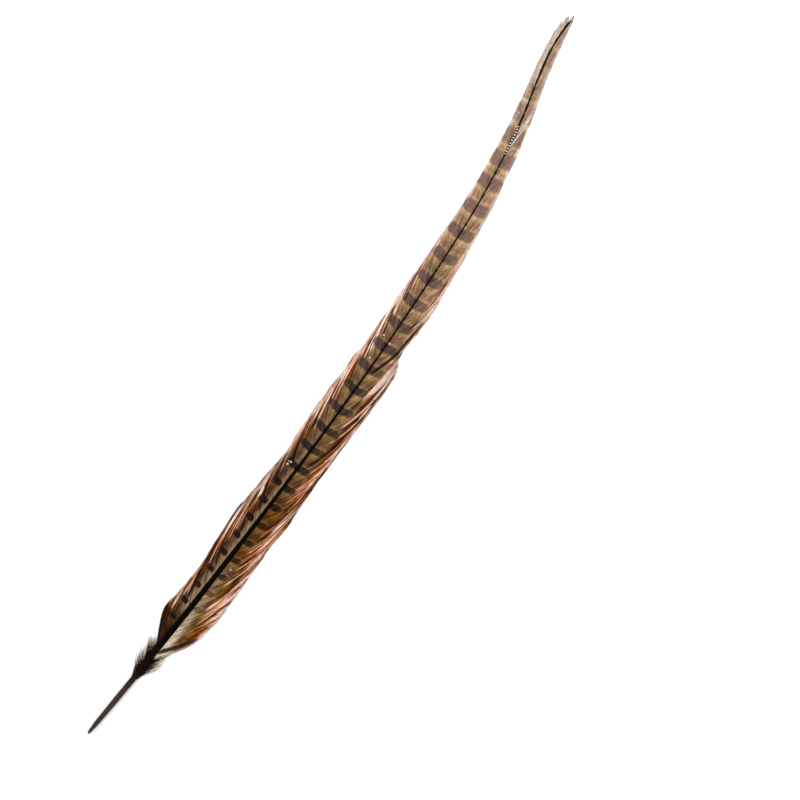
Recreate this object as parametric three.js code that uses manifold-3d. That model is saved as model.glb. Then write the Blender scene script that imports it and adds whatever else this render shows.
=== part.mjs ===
// A cock pheasant's long central tail feather, lying on a flat surface with its upper side up.
//
// The feather grew as one piece, so it is one closed solid. A bare round quill runs on as the
// tapering rachis, with a groove along its underside. A vane on each side is made of overlapping
// locks of barbs, which leave the rachis at a slant, bend towards the tip and end in short
// ragged teeth. Loose downy tufts stand where the vanes begin.
//
// Millimetres. +Y runs from the quill's end to the feather's tip, +X is the right-hand side seen
// from above, +Z is up, and z = 0 is the surface that the feather lies on. The shapes are made
// along a straight shaft, with x across it and y along it, and are bent to its line at the end.

import * as THREE from "three";
import { mergeVertices } from "three/addons/utils/BufferGeometryUtils.js";
import Module from "manifold-3d";

// Driving dimensions.
const SHAFT_LENGTH = 500; // along the shaft, from the quill's end to the feather's tip
const BARB_LAYER = 0.45; // thickness of a vane
const LOCKS_PER_VANE = 30;
const LAST_ROOT = 491; // where the last barbs leave the shaft
const LEFT = -1;
const RIGHT = 1;

// The shaft's line seen from above, [x, y], about a quill's end at 0, 0.
const SHAFT_LINE = [
  [-0.3, 0], [5.4, 60], [10, 120], [14.4, 200], [16.7, 280],
  [15.8, 360], [12.9, 400], [8.6, 431], [2.8, 458], [-0.4, 478], [0, 498],
];

// Profiles along the shaft are [distance from the quill's end, value].
const SHAFT_RADIUS = [
  [0, 0.45], [2, 0.95], [9, 1.4], [28, 1.7], [62, 1.75], [90, 1.6],
  [120, 1.4], [150, 1.15], [200, 0.75], [260, 0.55], [380, 0.42], [500, 0.25],
];
const SHAFT_HEIGHT = [ // of the shaft's axis above the surface
  [0, 1.7], [50, 1.75], [120, 3.0], [240, 4.4], [360, 3.4], [450, 1.7], [500, 0.6],
];
const GROOVE_DEPTH = 0.45; // in the rachis's underside, as a share of its radius
const GROOVE_START = 62; // where the round quill becomes the grooved rachis

// Each vane's half width, where a barb's tip lies at that distance.
const LEFT_OUTLINE = [
  [61, 6.5], [74, 10.8], [82, 13.2], [91, 12.8], [104, 11.4], [117, 11.2], [132, 13.2],
  [160, 14.2], [182, 13.2], [200, 11.6], [224, 13.3], [248, 13.3], [262, 11.9], [310, 10.9],
  [345, 9.1], [372, 7.9], [402, 6.9], [430, 5.5], [462, 4.1], [484, 3.5], [500, 1.2],
];
const RIGHT_OUTLINE = [
  [54, 5], [68, 11.6], [76, 15.2], [84, 17.2], [97, 18.6], [120, 17.5], [150, 16.8],
  [180, 15.2], [205, 14.6], [245, 15], [278, 15], [300, 11.6], [312, 11.9],
  [330, 11.4], [348, 9.8], [372, 8.4], [404, 7], [432, 5.6], [462, 4.9], [484, 4.2], [500, 1.2],
];
const FIRST_ROOT = new Map([[LEFT, 62], [RIGHT, 54]]);
const OUTLINE = new Map([[LEFT, LEFT_OUTLINE], [RIGHT, RIGHT_OUTLINE]]);

// Where barbs of the right vane have parted: the gap's corners, as [across, along].
const SPLIT = [[6, 256], [15.5, 278.5], [18, 285], [18, 300], [12, 297], [9.8, 283], [10.6, 273]];

// How barbs lie: how far along the shaft they run, and how steeply they leave it.
const BARB_RUN = [[54, 22], [72, 28], [100, 33], [280, 33], [400, 29], [455, 24], [491, 7.5]];
const BARB_SLOPE = [[54, 0.75], [120, 0.95], [300, 0.8], [400, 0.4], [500, 0.3]];

const EDGE_STEPS = 4; // stretches along each edge of a lock, shorter near the shaft
const LOCK_OVERLAP = 0.25; // of a lock's root on the next one's, as a share of its own width
const NEAR_TIP = 0.96; // how far out a lock's near tip and far tip are, as shares of the outline
const FAR_TIP = 1.03;
const TOOTH_RUN = 0.1; // how much further forward the far tip runs, as a share of its barb's run
const SHINGLE = 0.2; // a lock's far edge lies this much above its near edge
const EDGE_LIFT = 0.4; // most that a vane's edge stands off the surface
const VANE_SAG = 1.6; // power of the curve by which a vane falls from shaft to edge
const ROOT_INSET = 0.2; // a lock starts this far past the shaft's axis, so that both sides join
const ROOT_LEVEL = 0.4; // a vane's top meets the shaft this far above its axis, in radii

// Loose tufts below each vane: [root, run along the shaft, reach across it].
const LEFT_TUFTS = [[39, 12, 5.8], [43, 11, 6.9], [47.5, 12.5, 6.4], [52, 12, 7], [56, 10, 5.4]];
const RIGHT_TUFTS = [[38.5, 10.5, 4.4], [42.5, 12, 6.8], [47, 11.5, 6.2], [50, 14, 8.2]];
const TUFT_ROOT_WIDTH = 4.5;
const TUFT_SLOPE = 0.8;

const RING_STEP = 12; // between the rings of the shaft
const RADIAL_SEGMENTS = 10;

const wasm = await Module();
wasm.setup();

// The value of a profile at a distance along the shaft, eased between its points.
function valueAt(profile, distance) {
  const next = profile.findIndex(([at]) => at > distance);
  if (next === 0) return profile[0][1];
  if (next < 0) return profile.at(-1)[1];
  const [[from, low], [to, high]] = [profile[next - 1], profile[next]];
  return THREE.MathUtils.lerp(low, high, THREE.MathUtils.smoothstep(distance, from, to));
}

// A repeatable irregularity from -1 to 1 for the nth lock.
function irregular(n, kind) {
  const value = Math.sin(n * 12.9898 + kind * 78.233) * 43758.5453;
  return 2 * (value - Math.floor(value)) - 1;
}

function solidFrom(geometry) {
  geometry.deleteAttribute("normal");
  geometry.deleteAttribute("uv");
  const merged = mergeVertices(geometry, 1e-4);
  return new wasm.Manifold(new wasm.Mesh({
    numProp: 3,
    vertProperties: merged.attributes.position.array,
    triVerts: new Uint32Array(merged.index.array),
  }));
}

function geometryFrom(solid) {
  const { vertProperties, triVerts } = solid.getMesh();
  return new THREE.BufferGeometry()
    .setAttribute("position", new THREE.BufferAttribute(vertProperties, 3))
    .setIndex(new THREE.BufferAttribute(triVerts, 1));
}

// Moves every vertex of a geometry to where place(point) puts it.
function reshape(geometry, place) {
  const { position } = geometry.attributes;
  const point = new THREE.Vector3();
  for (let i = 0; i < position.count; i++) {
    place(point.fromBufferAttribute(position, i));
    position.setXYZ(i, point.x, point.y, point.z);
  }
  return geometry;
}

// How fast a barb bends forward: the k for which reach * (1 - exp(-k u)) / (1 - exp(-k))
// leaves the shaft at the given slope.
function bendOf(run, reach, slope) {
  const steepness = Math.max(1.05, (slope * run) / reach);
  let bend = steepness;
  for (let i = 0; i < 20; i++) bend = steepness * (1 - Math.exp(-bend));
  return bend;
}

// The points of one barb from its root to its tip, as [across, along].
function barbLine({ side, root, run, reach, slope }) {
  const bend = bendOf(run, reach, slope);
  const line = [];
  for (let i = 0; i <= EDGE_STEPS; i++) {
    const u = (i / EDGE_STEPS) ** 1.4;
    const out = (reach + ROOT_INSET) * (1 - Math.exp(-bend * u)) / (1 - Math.exp(-bend));
    line.push(new THREE.Vector2(side * (out - ROOT_INSET), root + run * u));
  }
  return line;
}

// Where along the shaft a barb passes a distance out from its root.
function barbPasses({ root, run, reach, slope }, out) {
  const bend = bendOf(run, reach, slope);
  const share = THREE.MathUtils.clamp(out / (reach + ROOT_INSET), 0, 1);
  return root - (run / bend) * Math.log(1 - share * (1 - Math.exp(-bend)));
}

// How high the underside of a vane lies, from its root on the shaft down to its edge.
function vaneHeight(side, across, along, lift) {
  const rootLevel = ROOT_LEVEL * valueAt(SHAFT_RADIUS, along) - BARB_LAYER;
  const root = valueAt(SHAFT_HEIGHT, along) + rootLevel;
  const width = Math.max(3, valueAt(OUTLINE.get(side), along));
  const share = Math.min(1, Math.abs(across) / width);
  return lift + (root - lift) * (1 - share ** VANE_SAG);
}

// One lock: a thin blade between its near and its far barb, laid over the vane's sag and
// rising by shingle from the one to the other.
function lock({ side, near, far, lift, shingle }) {
  const nearLine = barbLine({ side, ...near });
  const farLine = barbLine({ side, ...far });
  const blade = new THREE.ExtrudeGeometry(
    new THREE.Shape([...nearLine, ...farLine.reverse()]),
    { depth: BARB_LAYER, bevelEnabled: false },
  );
  return solidFrom(reshape(blade, (point) => {
    const out = side * point.x + ROOT_INSET;
    const start = barbPasses(near, out);
    const width = Math.max(0.1, barbPasses(far, out) - start);
    const risen = shingle * THREE.MathUtils.clamp((point.y - start) / width, 0, 1);
    point.z += vaneHeight(side, point.x, point.y, lift) + risen;
  }));
}

// A vane's barb that leaves the shaft at root. It reaches a share of the vane's outline, and
// longer lets it run on forward by a share of its own run.
function vaneBarb(side, root, share, longer = 0) {
  const run = valueAt(BARB_RUN, root);
  return {
    root,
    run: run * (1 + longer),
    reach: valueAt(OUTLINE.get(side), root + run) * share,
    slope: valueAt(BARB_SLOPE, root),
  };
}

function vaneLocks(side) {
  const first = FIRST_ROOT.get(side);
  const pitch = (LAST_ROOT - first) / LOCKS_PER_VANE;
  const rootOf = (n) => (n === 0 || n === LOCKS_PER_VANE
    ? first + n * pitch
    : first + (n + 0.25 * irregular(n, side)) * pitch);
  return Array.from({ length: LOCKS_PER_VANE }, (_, n) => {
    const tooth = TOOTH_RUN * (1 + 0.5 * irregular(n, 3 * side));
    const farRoot = Math.min(LAST_ROOT, rootOf(n + 1) + LOCK_OVERLAP * pitch);
    return lock({
      side,
      near: vaneBarb(side, rootOf(n), NEAR_TIP),
      far: vaneBarb(side, farRoot, FAR_TIP, tooth),
      lift: n % 3 === 0 ? 0 : EDGE_LIFT * Math.abs(irregular(n, 5 * side)),
      shingle: SHINGLE,
    });
  });
}

// A tuft is a narrow lock whose two barbs meet in one point.
function tufts(side, sizes) {
  return sizes.map(([root, run, reach], n) => {
    const barb = { root, run, reach, slope: TUFT_SLOPE };
    const far = { ...barb, root: root + TUFT_ROOT_WIDTH, run: run - TUFT_ROOT_WIDTH };
    return lock({ side, near: barb, far, lift: n % 2 ? 0.6 : 0, shingle: 0 });
  });
}

// The quill and rachis in one: a turned taper, grooved below and lifted off the surface.
function shaft() {
  const profile = [new THREE.Vector2(0, 0)];
  for (let y = 0; y < SHAFT_LENGTH; y += y < RING_STEP ? RING_STEP / 3 : RING_STEP) {
    profile.push(new THREE.Vector2(valueAt(SHAFT_RADIUS, y), y));
  }
  profile.push(new THREE.Vector2(valueAt(SHAFT_RADIUS, SHAFT_LENGTH), SHAFT_LENGTH));
  profile.push(new THREE.Vector2(0, SHAFT_LENGTH));
  const turned = new THREE.LatheGeometry(profile, RADIAL_SEGMENTS);
  return solidFrom(reshape(turned, (point) => {
    const radius = valueAt(SHAFT_RADIUS, point.y);
    const underneath = point.z < -0.9 * radius;
    if (underneath && point.y > GROOVE_START) point.z += GROOVE_DEPTH * radius;
    point.z += valueAt(SHAFT_HEIGHT, point.y);
  }));
}

// Lays the straight feather along the shaft's line.
function bendToLine(geometry) {
  const line = new THREE.SplineCurve(SHAFT_LINE.map(([x, y]) => new THREE.Vector2(x, y)));
  line.arcLengthDivisions = 2000;
  const stretch = line.getLength() / SHAFT_LENGTH;
  return reshape(geometry, (point) => {
    const share = THREE.MathUtils.clamp(point.y / SHAFT_LENGTH, 0, 1);
    const on = line.getPointAt(share);
    const along = line.getTangentAt(share);
    const beyond = (point.y - share * SHAFT_LENGTH) * stretch;
    point.set(
      on.x + along.y * point.x + along.x * beyond,
      on.y - along.x * point.x + along.y * beyond,
      point.z,
    );
  });
}

// The gap is cut through the whole thickness of the vane.
function split() {
  const corners = SPLIT.map(([x, y]) => new THREE.Vector2(x, y));
  return solidFrom(new THREE.ExtrudeGeometry(new THREE.Shape(corners), {
    depth: 2 * valueAt(SHAFT_HEIGHT, corners[0].y),
    bevelEnabled: false,
  }));
}

const grown = [
  shaft(),
  ...vaneLocks(LEFT),
  ...vaneLocks(RIGHT),
  ...tufts(LEFT, LEFT_TUFTS),
  ...tufts(RIGHT, RIGHT_TUFTS),
];
const whole = grown.reduce((joined, solid) => joined.add(solid)).subtract(split());

const keratin = new THREE.MeshStandardMaterial({ color: 0x8a6a3c, roughness: 0.6, metalness: 0 });
const feather = new THREE.Mesh(bendToLine(geometryFrom(whole)), keratin);
feather.name = "feather";

// The origin is below the middle of the feather, on the surface.
const box = new THREE.Box3().setFromObject(feather);
const middle = box.getCenter(new THREE.Vector3());
feather.position.set(-middle.x, -middle.y, -box.min.z);

const part = new THREE.Group();
part.add(feather);
export default part;
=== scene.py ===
import bpy
import numpy as np
from math import atan2, pi, radians
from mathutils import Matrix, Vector


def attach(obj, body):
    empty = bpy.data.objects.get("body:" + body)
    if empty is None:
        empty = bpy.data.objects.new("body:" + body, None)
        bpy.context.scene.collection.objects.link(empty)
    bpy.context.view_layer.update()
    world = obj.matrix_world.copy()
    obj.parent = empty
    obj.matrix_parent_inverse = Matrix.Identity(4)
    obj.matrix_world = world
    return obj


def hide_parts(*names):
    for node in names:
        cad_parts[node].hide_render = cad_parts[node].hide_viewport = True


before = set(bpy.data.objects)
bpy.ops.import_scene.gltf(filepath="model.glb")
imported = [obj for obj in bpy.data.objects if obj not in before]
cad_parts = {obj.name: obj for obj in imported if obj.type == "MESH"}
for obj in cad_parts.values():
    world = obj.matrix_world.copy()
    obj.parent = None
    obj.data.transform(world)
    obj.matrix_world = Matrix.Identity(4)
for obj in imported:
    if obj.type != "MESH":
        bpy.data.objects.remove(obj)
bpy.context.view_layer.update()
print("loaded the frame")

# Lengths below are in millimetres: along is measured from the quill's end up the bowed
# shaft, across from the shaft's middle outwards.
mm = 0.001
rng = np.random.default_rng(7)

feather = {
    "length": 500,
    "bow": [[-0.3, 0], [5.4, 60], [10, 120], [14.4, 200], [16.7, 280], [15.8, 360],
            [12.9, 400], [8.6, 431], [2.8, 458], [-0.4, 478], [0, 498]],
    "radius": [[0, 0.45], [2, 0.95], [9, 1.4], [28, 1.65], [62, 1.68], [85, 1.8], [120, 1.55],
               [150, 1.25], [176, 1.0], [234, 0.64], [293, 0.46], [380, 0.42], [500, 0.28]],
    "height": [[0, 1.7], [50, 1.75], [120, 3.0], [240, 4.4], [360, 3.4], [450, 1.7], [500, 0.6]],
    "stretchSteps": 200, "lineSteps": 2000,  # at which the bowed line is worked out
    "endDepth": 0.2,  # of the quill's end, to find its middle
}


def linear(hexColour):
    # an sRGB hex value as the linear colour that shaders work in
    parts = [int(hexColour[i:i + 2], 16) / 255 for i in (1, 3, 5)]
    return [c / 12.92 if c <= 0.04045 else ((c + 0.055) / 1.055) ** 2.4 for c in parts] + [1.0]


def eased(profile, where):
    # the value of a profile at each place, eased between its points
    spots, values = np.array(profile, float).T
    step = np.clip(np.searchsorted(spots, where, side="right") - 1, 0, len(spots) - 2)
    share = np.clip((where - spots[step]) / (spots[step + 1] - spots[step]), 0, 1)
    return values[step] + (values[step + 1] - values[step]) * share * share * (3 - 2 * share)


def smooth(low, high, where):
    # 0 at low, 1 at high, eased between; a low above the high turns it round
    share = np.clip((where - low) / (high - low), 0, 1)
    return share * share * (3 - 2 * share)


def shaftLine(points, length):
    # the bowed middle line: places and directions at even steps of its own length
    points = np.array(points, float)
    padded = np.vstack([points[:1], points, points[-1:]])
    t = np.linspace(0, 1, feather["stretchSteps"], endpoint=False)[:, None]
    pieces = []
    for before, start, end, after in zip(padded, padded[1:], padded[2:], padded[3:]):
        pullIn, pullOut = (end - before) / 2, (after - start) / 2
        pieces.append((2 * start - 2 * end + pullIn + pullOut) * t ** 3
                      + (3 * end - 3 * start - 2 * pullIn - pullOut) * t ** 2
                      + pullIn * t + start)
    fine = np.vstack([*pieces, points[-1:]])
    steps = np.hypot(*np.diff(fine, axis=0).T)
    travelled = np.concatenate([[0], np.cumsum(steps)])
    travelled *= length / travelled[-1]
    even = np.linspace(0, length, feather["lineSteps"] + 1)
    places = np.stack([np.interp(even, travelled, fine[:, axis]) for axis in (0, 1)], 1)
    directions = np.gradient(places, axis=0)
    return even, places, directions / np.hypot(*directions.T)[:, None]


# The quill's end in the frame is where the line starts.
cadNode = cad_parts["feather"]
cadPoints = np.array([cadNode.matrix_world @ v.co for v in cadNode.data.vertices]) / mm
quillEnd = cadPoints[cadPoints[:, 1] < cadPoints[:, 1].min() + feather["endDepth"]].mean(0)
lineAlong, linePlaces, lineDirections = shaftLine(feather["bow"], feather["length"])
linePlaces = linePlaces + (quillEnd[:2] - linePlaces[0])


def layOnLine(across, along, height):
    # turns straight feather coordinates into places in the frame, in metres
    inside = np.clip(along, 0, feather["length"])
    place = [np.interp(inside, lineAlong, linePlaces[:, axis]) for axis in (0, 1)]
    ahead = [np.interp(inside, lineAlong, lineDirections[:, axis]) for axis in (0, 1)]
    beyond = along - inside
    x = place[0] + ahead[1] * across + ahead[0] * beyond
    y = place[1] - ahead[0] * across + ahead[1] * beyond
    return np.stack([x, y, height], -1) * mm


def addNode(tree, kind, inputs=(), output=0, stops=(), **settings):
    # adds one node with its settings and links, and returns the output that is used
    node = tree.nodes.new("ShaderNode" + kind)
    for name, value in settings.items():
        setattr(node, name, value)
    for n, (place, colour) in enumerate(stops):
        element = node.color_ramp.elements[n] if n < 2 else node.color_ramp.elements.new(place)
        element.position, element.color = place, linear(colour)
    for name, value in dict(inputs).items():
        if isinstance(value, bpy.types.NodeSocket):
            tree.links.new(value, node.inputs[name])
        else:
            node.inputs[name].default_value = value
    return node.outputs[output]


def inOrder(places, colours):
    # stops for a ramp, with the two that it starts with first
    pairs = list(zip(places, colours))
    return [pairs[0], pairs[-1], *pairs[1:-1]]


def newMaterial(name):
    # an empty node material
    material = bpy.data.materials.new(name)
    material.use_nodes = True
    material.node_tree.nodes.clear()
    return material, material.node_tree


def finishPiece(piece, material):
    # gives a piece its material and its place in the frame's model
    piece.data.materials.clear()
    piece.data.materials.append(material)
    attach(piece, "root")
    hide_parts("feather")


def meshPiece(name, points, faces, attributes):
    # a joined mesh of many small things from arrays of points and triangles
    mesh = bpy.data.meshes.new(name)
    mesh.vertices.add(len(points))
    mesh.vertices.foreach_set("co", points.astype(np.float32).ravel())
    mesh.loops.add(faces.size)
    mesh.loops.foreach_set("vertex_index", faces.astype(np.int32).ravel())
    mesh.polygons.add(len(faces))
    mesh.polygons.foreach_set("loop_start", np.arange(0, faces.size, 3, dtype=np.int32))
    mesh.update(calc_edges=True)
    for label, values in attributes.items():
        layer = mesh.attributes.new(label, "FLOAT", "POINT")
        layer.data.foreach_set("value", np.broadcast_to(values, len(points)).astype(np.float32))
    mesh.polygons.foreach_set("use_smooth", np.ones(len(faces), bool))
    mesh.validate()
    piece = bpy.data.objects.new(name, mesh)
    bpy.context.scene.collection.objects.link(piece)
    return piece


def strandFaces(strands, stations):
    # triangles of closed three-sided strands, each with its stations' rings and a tip point
    perStrand = 3 * stations + 1
    ring = []
    for station in range(stations - 1):
        for corner in range(3):
            a, b = 3 * station + corner, 3 * station + (corner + 1) % 3
            ring += [[a, b, b + 3], [a, b + 3, a + 3]]
    last = 3 * (stations - 1)
    ring += [[last + corner, last + (corner + 1) % 3, 3 * stations] for corner in range(3)]
    ring += [[0, 2, 1]]
    return (np.arange(strands)[:, None, None] * perStrand + np.array(ring)[None]).reshape(-1, 3)


def strandPoints(near, far, ridge, tip):
    # the points that strandFaces joins, strand after strand
    corners = np.stack([near, far, ridge], 2)
    rings = corners[:, :-1].reshape(len(tip), -1, 3)
    return np.concatenate([rings, tip[:, None]], 1).reshape(-1, 3)


def strandShares(u, strands):
    # how far along its strand each of those points is
    return np.tile(np.concatenate([np.repeat(u[:-1], 3), u[-1:]]), strands)


def deselectAll():
    if bpy.context.object and bpy.context.object.mode != "OBJECT":
        bpy.ops.object.mode_set(mode="OBJECT")
    bpy.ops.object.select_all(action="DESELECT")


# The shaft: bare quill below, rachis between the vanes above.
shaftValues = {
    "sides": 16,
    "endRings": (0.7, 1.4, 2.0), "tipRings": (497, 500),  # places of single rings
    "evenFrom": 4, "quillStep": 3, "rachisStep": 9,  # of the evenly spaced rings between
    "quillLength": 70,
    "grooveAlong": 60, "grooveDepth": 0.55,  # of the rachis' underside, in radii
    "tipInset": 0.4, "tipLength": 0.15,  # the rounding off at the tip, in radii and mm
    "mouthInset": 0.3, "mouthDepth": 1.6, "mouthTaper": 0.6,  # the quill's open cut end
    "smoothAngle": 50,
    # where the horn's colours stand along the shaft
    "quillTo": 32.5, "collarAt": 45, "rachisFrom": 70, "rachisTo": 225, "upperFrom": 340,
    "quillColour": "#3b302a", "collarColour": "#120c09", "rachisColour": "#060403",
    "upperColour": "#0a0604", "beadColour": "#e9e1d6",
    "beadPitch": 1.75,  # about 1.1 mm on the real one, too fine to show
    "beadsFrom": (409, 413), "beadsTo": (427, 430),  # along the shaft, fading in and out
    "fluteWidth": 0.25,
    "scuffSize": 1 / 0.9,  # of the dull marks of wear
}


def buildShaft(v):
    def at(along):
        place = [np.interp(along, lineAlong, linePlaces[:, axis]) for axis in (0, 1)]
        ahead = [np.interp(along, lineAlong, lineDirections[:, axis]) for axis in (0, 1)]
        height = eased(feather["height"], along)
        return Vector((*place, height)) * mm, atan2(-ahead[0], ahead[1])

    def radius(along):
        return float(eased(feather["radius"], along)) * mm

    deselectAll()
    cutEnd, heading = at(0.0)
    bpy.ops.mesh.primitive_circle_add(vertices=v["sides"], radius=radius(0), fill_type="NGON",
                                      location=cutEnd, rotation=(pi / 2, 0, heading))
    shaft = bpy.context.object
    shaft.name = shaft.data.name = "shaft"
    bpy.ops.object.transform_apply(location=True, rotation=True, scale=True)
    bpy.ops.object.mode_set(mode="EDIT")
    bpy.ops.mesh.select_all(action="SELECT")
    evenTo = feather["length"] - v["evenFrom"]
    grooved, was, centre = False, 0.0, cutEnd
    for along in [*v["endRings"], *np.arange(v["evenFrom"], v["quillLength"], v["quillStep"]),
                  *np.arange(v["quillLength"], evenTo, v["rachisStep"]), *v["tipRings"]]:
        nextCentre, nextHeading = at(along)
        bpy.ops.mesh.extrude_region_move(TRANSFORM_OT_translate={"value": nextCentre - centre})
        turn = nextHeading - heading
        if abs(turn) > 1e-5:
            bpy.ops.transform.rotate(value=-turn, orient_axis="Z", center_override=nextCentre)
        grow = radius(along) / radius(was)
        bpy.ops.transform.resize(value=(grow, grow, grow), center_override=nextCentre)
        if not grooved and along > v["grooveAlong"]:
            grooved = True
            pressGroove(shaft, nextCentre, radius(along) * v["grooveDepth"])
        centre, heading, was = nextCentre, nextHeading, along
    # the cap at the tip is rounded off, and the quill's end gets its open mouth
    bpy.ops.mesh.inset(thickness=radius(feather["length"]) * v["tipInset"])
    bpy.ops.transform.translate(value=(0, v["tipLength"] * mm, 0))
    chooseFaces(shaft, lambda face: (face.center - cutEnd).length < 0.1 * mm)
    bpy.ops.mesh.inset(thickness=v["mouthInset"] * radius(0))
    inward = at(v["mouthDepth"])[0]
    bpy.ops.mesh.extrude_region_move(TRANSFORM_OT_translate={"value": inward - cutEnd})
    bpy.ops.transform.resize(value=[v["mouthTaper"]] * 3, center_override=inward)
    bpy.ops.mesh.select_all(action="SELECT")
    bpy.ops.mesh.normals_make_consistent(inside=False)
    bpy.ops.object.mode_set(mode="OBJECT")
    bpy.ops.object.shade_smooth_by_angle(angle=radians(v["smoothAngle"]))
    # each point keeps how far along the shaft it is, for the material
    points = np.array([p.co for p in shaft.data.vertices]) / mm
    away = ((points[:, None, :2] - linePlaces[None, ::4]) ** 2).sum(2)
    layer = shaft.data.attributes.new("along", "FLOAT", "POINT")
    layer.data.foreach_set("value", lineAlong[::4][away.argmin(1)].astype(np.float32))
    return shaft


def chooseFaces(piece, wanted):
    # leaves only the wanted faces selected, in edit mode
    bpy.ops.mesh.select_all(action="DESELECT")
    bpy.ops.object.mode_set(mode="OBJECT")
    for face in piece.data.polygons:
        face.select = wanted(face)
    bpy.ops.object.mode_set(mode="EDIT")


def pressGroove(piece, centre, depth):
    # lifts the lowest corner of the last ring, then takes the whole ring up again
    bpy.ops.object.mode_set(mode="OBJECT")
    ring = [p.index for p in piece.data.vertices if p.select]
    lowest = min(piece.data.vertices[i].co.z for i in ring)
    for face in piece.data.polygons:
        face.select = False
    for edge in piece.data.edges:
        edge.select = False
    for i in ring:
        piece.data.vertices[i].select = piece.data.vertices[i].co.z < lowest + 0.02 * mm
    bpy.ops.object.mode_set(mode="EDIT")
    bpy.ops.mesh.select_mode(type="VERT")
    bpy.ops.transform.translate(value=(0, 0, depth))
    bpy.ops.object.mode_set(mode="OBJECT")
    for i in ring:
        piece.data.vertices[i].select = True
    bpy.ops.object.mode_set(mode="EDIT")
    bpy.ops.mesh.select_mode(type="FACE")


def keratinMaterial(v):
    # Keratin of quill and rachis: a dense, dull horn, dark brown at the quill and near black
    # above it, with fine flutes along it. In MapRange nodes, here and below, 1 and 2 are the
    # limits that come in, 3 and 4 those that go out.
    material, tree = newMaterial("keratin")
    along = addNode(tree, "Attribute", output="Fac", attribute_name="along")
    place = addNode(tree, "TexCoord", output="Object")
    share = addNode(tree, "Math", {0: along, 1: 1 / feather["length"]}, operation="MULTIPLY")
    tones = [(0, "quill"), (v["quillTo"], "quill"), (v["collarAt"], "collar"),
             (v["rachisFrom"], "rachis"), (v["rachisTo"], "rachis"), (v["upperFrom"], "upper"),
             (feather["length"], "upper")]
    colour = addNode(tree, "ValToRGB", {"Fac": share}, stops=[
        (spot / feather["length"], v[tone + "Colour"]) for spot, tone in tones])
    scuffs = addNode(tree, "TexNoise", {
        "Vector": place, "Scale": 1 / (v["scuffSize"] * mm), "Detail": 3.0}, output="Fac")
    flutes = addNode(tree, "Mapping", {"Vector": place, "Scale": (1.0, 0.04, 1.0)})
    fluteNoise = addNode(tree, "TexNoise", {
        "Vector": flutes, "Scale": 1 / (v["fluteWidth"] * mm), "Detail": 2.0}, output="Fac")
    worn = addNode(tree, "MapRange", {"Value": scuffs, 1: 0.45, 2: 0.75, 3: 0.0, 4: 0.1})
    worked = addNode(tree, "Mix", {0: worn, 6: colour, 7: linear(v["collarColour"])},
                     output=2, data_type="RGBA")
    # pith shows as pale beads along the thin upper rachis
    beads = addNode(tree, "Math", {0: along, 1: 1 / v["beadPitch"]}, operation="MULTIPLY")
    beadWave = addNode(tree, "Math", {0: beads}, operation="FRACT")
    beadSpot = addNode(tree, "MapRange", {"Value": beadWave, 1: 0.55, 2: 0.65, 3: 0.0, 4: 1.0})
    start = addNode(tree, "MapRange", {"Value": along, 1: v["beadsFrom"][0],
                                       2: v["beadsFrom"][1], 3: 0.0, 4: 1.0})
    end = addNode(tree, "MapRange", {"Value": along, 1: v["beadsTo"][0], 2: v["beadsTo"][1],
                                     3: 1.0, 4: 0.0})
    span = addNode(tree, "Math", {0: start, 1: end}, operation="MULTIPLY")
    beadMask = addNode(tree, "Math", {0: beadSpot, 1: span}, operation="MULTIPLY")
    beaded = addNode(tree, "Mix", {0: beadMask, 6: worked, 7: linear(v["beadColour"])},
                     output=2, data_type="RGBA")
    rough = addNode(tree, "MapRange", {"Value": scuffs, 1: 0.3, 2: 0.7, 3: 0.34, 4: 0.6})
    bump = addNode(tree, "Bump", {"Height": fluteNoise, "Strength": 0.35,
                                  "Distance": 0.05 * mm})
    shader = addNode(tree, "BsdfPrincipled", {
        "Base Color": beaded, "Roughness": rough, "Normal": bump, "IOR": 1.54,
        "Specular IOR Level": 0.015})
    tree.links.new(shader, tree.nodes.new("ShaderNodeOutputMaterial").inputs["Surface"])
    return material


shaft = buildShaft(shaftValues)
finishPiece(shaft, keratinMaterial(shaftValues))
print("shaft made:", len(shaft.data.polygons), "faces")


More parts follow.
